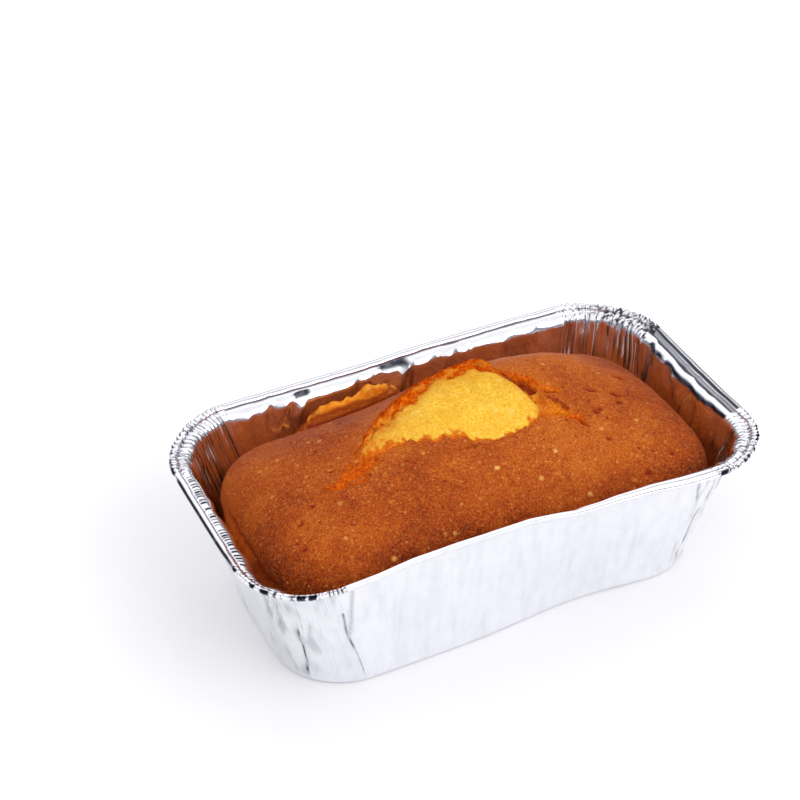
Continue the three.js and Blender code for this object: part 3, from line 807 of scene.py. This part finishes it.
    crease = back - cake["finInset"]
    left, right = cake["finLeft"], cake["finRight"]
    fadeLeft, fadeRight = cake["finFade"]
    fin = window(x, left, left + fadeLeft, right - fadeRight, right)
    y = mix(lipY + mix(0.4, 1.7, torn), crease, np.sin(steps("back") * np.pi / 2))
    toastBy = torn * np.exp(-(y - lipY) / 1.6) * 0.6
    # painted shade along the groove at the fin's foot
    grooved = fin * np.exp(-(crease - y) / 1.1)
    add(y, backTop(y) - cake["finGroove"] * grooved, 1, 1, 0, toastBy, 0.8 * grooved)

    # ragged fin of crust along the back edge
    finTop = softLine(x, cake["finTop"], 0.6)
    t = steps("fin")
    y = mix(crease, back, t)
    knots = [0, 0.4, 0.55, 0.7, 0.85, 1]
    across = np.interp(t, knots, [0.05, 0.33, 0.48, 0.72, 0.86, 0.98])
    rise = np.interp(t, knots, [0.02, 0.86, 0.98, 1, 0.75, 0.3])
    ragged = lumps(x, t * 3, 0, 2.6, 36) * 0.5 + lumps(x, t * 6, 0, 1.2, 37) * 0.45
    finY = mix(crease, back, across) + cake["finLean"] * rise + 0.5 * rise * lumps(x, t * 5, 3, 4, 38)
    grooved = fin * (1 - smooth(rise, 0.2, 0.5)) * np.ones_like(y)
    finZ = mix(backTop(crease), finTop + ragged * smooth(rise, 0.5, 0.9), rise)
    finZ = finZ - cake["finGroove"] * fin * np.exp(-t / 0.07)
    crumbly = fin * smooth(rise, 0.84, 0.96) * smooth(lumps(x, t * 8, 0, 1.8, 66), -0.7, 0.2)
    # painted shadow: a dark line at its foot, another under its curled edge
    over = finZ - np.interp(x, *zip(*cake["finFoot"]))
    lines = 0.9 * bell(over, 0.2, 0.6) + 0.6 * bell(over, 2.4, 0.5)
    face = fin * smooth(over, 2.2, 2.9)
    add(mix(y, finY, fin), mix(backTop(y), finZ, fin), 1, fin * (1 - face), crumbly * 0.45,
        np.maximum(crumbly, 0.5 * face), fin * np.maximum(0.8 * grooved, lines), face, 0.85 * face)

    z = mix(backEdge, bendZ, steps("backSide"))
    add(sideY(x, z, False), z, mix(cake["endTaper"], 1, (z - bendZ) / (backEdge - bendZ)), side=1)

    got = {key: np.concatenate(value, 1) for key, value in rows.items()}
    y, z, top, crumb, toast, pitAndShade, side, golden = [got[key] for key in list(rows) if key != "slide"]
    wide = x + 0 * y
    depth = edgeDepth(wide, y, front, back)

    # relief of the crust and the crumb
    onCrust = top * smooth(depth, 0, 4)
    z = z + onCrust * layered(x, y, 0, cake["crustRelief"])
    z = z + crumb * layered(x, y, 0, cake["crumbRelief"])
    for line, deep, toasted, yellow in cake["tears"]:
        near = nearLine(wide, y, line) + 0.45 * lumps(x, y, 0, 1.7, 47)
        amount = (1 - smooth(near, 0.45, 1)) * np.minimum(top + toast, 1)
        z = z - amount * (deep + 0.35 * lumps(x, y, 0, 1.3, 48))
        toast = np.maximum(toast, amount * toasted)
        crumb = np.maximum(crumb, amount * yellow)
    # the hole: sunk and darkened, part toasted red and part painted shade
    near = nearLine(wide, y, cake["hole"]) + 0.2 * lumps(x, y, 0, 1.2, 49)
    amount = (1 - smooth(near, 0.7, 1)) * (1 - smooth(crumb, 0.4, 0.6)) * np.minimum(top + toast, 1)
    z = z - cake["holeDepth"] * amount
    pitAndShade = np.maximum(pitAndShade, 0.9 * amount)
    toast = toast * (1 - 0.5 * amount)
    crumb = crumb * (1 - amount)
    for line, dark in cake["redLines"]:
        near = nearLine(wide, y, line) + 0.5 * lumps(x, y, 0, 1.4, 46)
        amount = (1 - smooth(near, 0.55, 1.15)) * (1 - crumb) * np.maximum(top, toast)
        z = z - 0.5 * amount
        pitAndShade = np.maximum(pitAndShade, dark * amount)
    random = np.random.RandomState(5)
    small = [(random.uniform(-80, 80), random.uniform(-44, 40), random.uniform(0.4, 1.1),
              random.uniform(0.25, 0.42), random.uniform(-0.8, 0.8)) for _ in range(cake["smallPits"])]
    for pitX, pitY, long, short, turn in cake["pits"] + small:
        awayX, awayY = wide - pitX, y - pitY
        u = (awayX * math.cos(turn) + awayY * math.sin(turn)) / long
        v = (awayY * math.cos(turn) - awayX * math.sin(turn)) / short
        amount = np.exp(-(u * u + v * v) ** 2) * top * (1 - toast)
        z = z - amount * (0.5 + 0.5 * short)
        pitAndShade = np.maximum(pitAndShade, amount)

    def byEdge(reach):
        return np.exp(-np.maximum(depth, 0) / reach)

    # darker above the front edge (browning with painted shade) and at the right end, paler at the back
    toFront = mix(1, 0.75, smooth(wide, 5, 45))
    bake = cake["bake"] + cake["edgeBakeAndShade"] * byEdge(6) * mix(0.08, toFront, smooth(-y, -5, 25))
    bake = bake + layered(x, y, 0, cake["bakeRelief"])
    bake = bake + cake["leftBake"] * smooth(-x, 20, 60) * smooth(y, -30, 0)
    bake = bake + cake["rightBake"] * smooth(wide, 60, 78)
    bake = bake - cake["rightEdgePale"] * byEdge(2.5) * smooth(wide, 55, 75) * smooth(y, -30, -12)
    for bakeX, bakeY, long, short, amount in cake["tones"]:
        bake = bake + amount * bell(wide, bakeX, long) * bell(y, bakeY, short)
    side = np.maximum(side, 0.7 * byEdge(1.5) * smooth(wide, 55, 75) * smooth(y, -34, -16))
    side = np.maximum(side, 0.6 * byEdge(2.5) * smooth(-wide, 44, 56) * smooth(y, 5, 15))
    points = np.stack([wide * got["slide"], y, z], -1)
    middle = np.stack([wide * 0.97, 0 * y, 22 + 0 * z], -1)
    points = mix(middle, points, share[..., None])

    # left end
    endward = smooth(-points[..., 0], 66, 82)
    over = points[..., 2] - cake["grooveZ"] + 0.6 * lumps(0, points[..., 1], 0, 9, 59)
    over = over + 0.5 * lumps(0, points[..., 1], 0, 2.6, 60)
    endward = endward * smooth(-points[..., 1], -24, -8)
    points[..., 0] -= cake["endLean"] * endward * bell(over, -8, 7)
    grooved = endward * bell(over, 0, 0.8)
    points[..., 0] += cake["groove"] * grooved
    # painted shade in the groove under the crust's edge
    pitAndShade = np.maximum(pitAndShade, 0.45 * grooved)
    blotch = lumps(points[..., 0], points[..., 1], points[..., 2], 4, 70)
    pitAndShade = np.maximum(pitAndShade, 0.25 * endward * smooth(-over, 0, 2) * smooth(blotch, -0.2, 0.6))
    side = np.maximum(side, 0.8 * endward * smooth(-over, 0, 1.5))

    # grain of the torn faces, along their normals
    normal = np.cross(np.gradient(points, axis=1), np.gradient(points, axis=0))
    normal /= np.maximum(np.linalg.norm(normal, axis=-1, keepdims=True), 1e-9)
    px, py, pz = points[..., 0], points[..., 1], points[..., 2]
    coarse, fine = lumps(px, py, pz, 1.7, 62), lumps(px, py, pz, 1.05, 63)
    rough = toast * (1 - crumb) * (0.2 * coarse + 0.22 * fine) + crumb * (0.08 * coarse + 0.11 * fine)
    points = points + normal * rough[..., None] + np.array([0, shiftY, 0])
    return points, {"crumb": crumb, "toast": toast, "pitAndShade": pitAndShade, "bake": bake, "side": side, "fin": golden}


def cakeMaterial():
    finish, tree, shader, spots = newMaterial("cakeCrust")
    bend = addNode(tree, "ShaderNodeVectorMath", {1: [cake["warp"]] * 3}, operation="MULTIPLY_ADD")
    tree.links.new(addNoise(tree, spots, 900, 2)["Color"], bend.inputs[0])
    tree.links.new(spots, bend.inputs[2])

    def noise(scale, detail=3, rough=0.55):
        return addNoise(tree, spots, scale, detail, rough)["Fac"]

    # scattered dots, each of its own strength
    def specks(scale, size, leftOut, strength):
        item = addNode(tree, "ShaderNodeTexVoronoi", {"Scale": scale})
        tree.links.new(bend.outputs[0], item.inputs["Vector"])
        dots = addRange(tree, item.outputs["Distance"], size * 0.4, size, 1, 0)
        parts = addNode(tree, "ShaderNodeSeparateColor")
        tree.links.new(item.outputs["Color"], parts.inputs["Color"])
        some = addRange(tree, parts.outputs[0], leftOut, 1, 0, strength)
        return addMath(tree, "MULTIPLY", dots, some)

    def patches(scale, low, high, strength):
        return addRange(tree, noise(scale), low, high, 0, strength)

    broad, mottle, fine = noise(60), noise(380, 4, 0.6), noise(1500, 3, 0.6)
    level = addMath(tree, "ADD", carried(tree, "bake"), addRange(tree, broad, 0.3, 0.7, -0.1, 0.1))
    level = addMath(tree, "ADD", level, addRange(tree, mottle, 0.3, 0.7, -0.13, 0.13))
    level = addMath(tree, "ADD", level, addRange(tree, fine, 0.3, 0.7, 0.4, -0.4), True)
    crust = addRamp(tree, level, cake["crustTints"])
    dots = addMath(tree, "MAXIMUM", patches(1000, 0.58, 0.7, 0.35), specks(560, 0.34, 0.35, 0.72))
    dots = addMath(tree, "MAXIMUM", dots, specks(230, 0.22, 0.6, 0.95))
    crust = addMix(tree, dots, crust, tint(*cake["dotTint"]))
    for values, dotTint in cake["specks"]:
        crust = addMix(tree, specks(*values), crust, tint(*dotTint))
    crust = addMix(tree, carried(tree, "side"), crust, addRamp(tree, mottle, cake["sideTints"]))
    crumb = addRamp(tree, noise(1000, 5, 0.6), cake["crumbTints"])
    for values, patchTint in cake["patches"]:
        crumb = addMix(tree, patches(*values), crumb, tint(*patchTint))
    torn = addRamp(tree, noise(900, 4, 0.65), cake["tornTints"])
    colour = addMix(tree, carried(tree, "toast"), crust, torn)
    colour = addMix(tree, carried(tree, "fin"), colour, addRamp(tree, mottle, cake["finTints"]))
    colour = addMix(tree, carried(tree, "crumb"), colour, crumb)
    # dark red in pits and torn lines, and painted shade in the grooves, under the fin and in the hole
    inPitsAndShade = addMath(tree, "MULTIPLY", carried(tree, "pitAndShade"), cake["pitAndShadeShare"], True)
    colour = addMix(tree, inPitsAndShade, colour, tint(*cake["pitAndShadeTint"]))
    tree.links.new(colour, shader.inputs["Base Color"])
    bare = addMath(tree, "MAXIMUM", carried(tree, "crumb"), carried(tree, "toast"))
    tree.links.new(addRange(tree, bare, 0, 1, *cake["rough"]), shader.inputs["Roughness"])
    tree.links.new(addRange(tree, bare, 0, 1, *cake["shine"]), shader.inputs["Specular IOR Level"])
    addBump(tree, shader, addMath(tree, "ADD", mottle, fine), *cake["bump"])
    return finish


def makeCake():
    points, layers = cakePoints()
    rings, around = points.shape[:2]
    loaf, ring, place = ringTube("poundCake", around, [100, 2], "NGON")
    putCorners(loaf, points[ring, place])
    for name, values in layers.items():
        addAttribute(loaf, name, (values + 0 * points[..., 0])[ring, place])
    tidyMesh(loaf)
    bpy.ops.object.shade_smooth()
    loaf.data.materials.append(cakeMaterial())
    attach(loaf, "root")
    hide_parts("cake")
    print("loaf:", len(loaf.data.polygons), "faces of", rings, "rings")


# pale floor and soft light; sizes in metres
studio = {
    "floor": 6, "floorTints": [(0.3, (250, 250, 252)), (0.7, (252, 252, 253))],
    "floorRough": 0.9, "floorShine": 0.1,
    "keyPlace": (0.45, -0.95, 1), "keySize": 1, "keyPower": 5,
    "sky": [1, 1, 1.01, 1], "skyBack": [1.3, 1.3, 1.31, 1], "skyLow": [0.05, 0.055, 0.08, 1],
    "room": [0.3, 0.3, 0.36, 1],
}


def makeStudio():
    bpy.ops.object.select_all(action="DESELECT")
    bpy.ops.mesh.primitive_plane_add(size=studio["floor"])
    floor = bpy.context.object
    floor.name = "floor"
    finish, tree, shader, spots = newMaterial("paleFloor")
    pale = addRamp(tree, addNoise(tree, spots, 3, 2)["Fac"], studio["floorTints"])
    tree.links.new(pale, shader.inputs["Base Color"])
    shader.inputs["Roughness"].default_value = studio["floorRough"]
    shader.inputs["Specular IOR Level"].default_value = studio["floorShine"]
    floor.data.materials.append(finish)

    bpy.ops.object.light_add(type="AREA", location=studio["keyPlace"])
    key = bpy.context.object
    key.name = "softKey"
    key.data.size = studio["keySize"]
    key.data.energy = studio["keyPower"]
    key.rotation_euler = (-key.location).to_track_quat("-Z", "Y").to_euler()

    world = bpy.data.worlds.new("studioSky")
    bpy.context.scene.world = world
    world.use_nodes = True
    tree = world.node_tree
    parts = addNode(tree, "ShaderNodeSeparateXYZ")
    tree.links.new(addNode(tree, "ShaderNodeTexCoord").outputs["Generated"], parts.inputs[0])
    behind = addRange(tree, parts.outputs["Y"], 0.1, 0.3, 0, 1)
    panel = addMath(tree, "MULTIPLY", behind, addRange(tree, parts.outputs["Z"], 0.8, 0.9, 1, 0))
    sky = addMix(tree, panel, studio["sky"], studio["skyBack"])
    low = addMath(tree, "MULTIPLY", behind, addRange(tree, parts.outputs["Z"], 0.3, 0.38, 1, 0))
    sky = addMix(tree, low, sky, studio["skyLow"])
    # the foil mirrors a darker room above the table
    mirrored = addNode(tree, "ShaderNodeLightPath").outputs["Is Glossy Ray"]
    room = addMath(tree, "MULTIPLY", mirrored, addRange(tree, parts.outputs["Z"], 0.36, 0.46, 1, 0))
    sky = addMix(tree, room, sky, studio["room"])
    tree.links.new(sky, tree.nodes["Background"].inputs["Color"])
    bpy.context.scene.view_settings.view_transform = "Standard"
    print("floor and lights set")


addCamera()
makeTin()
makeCake()
makeStudio()
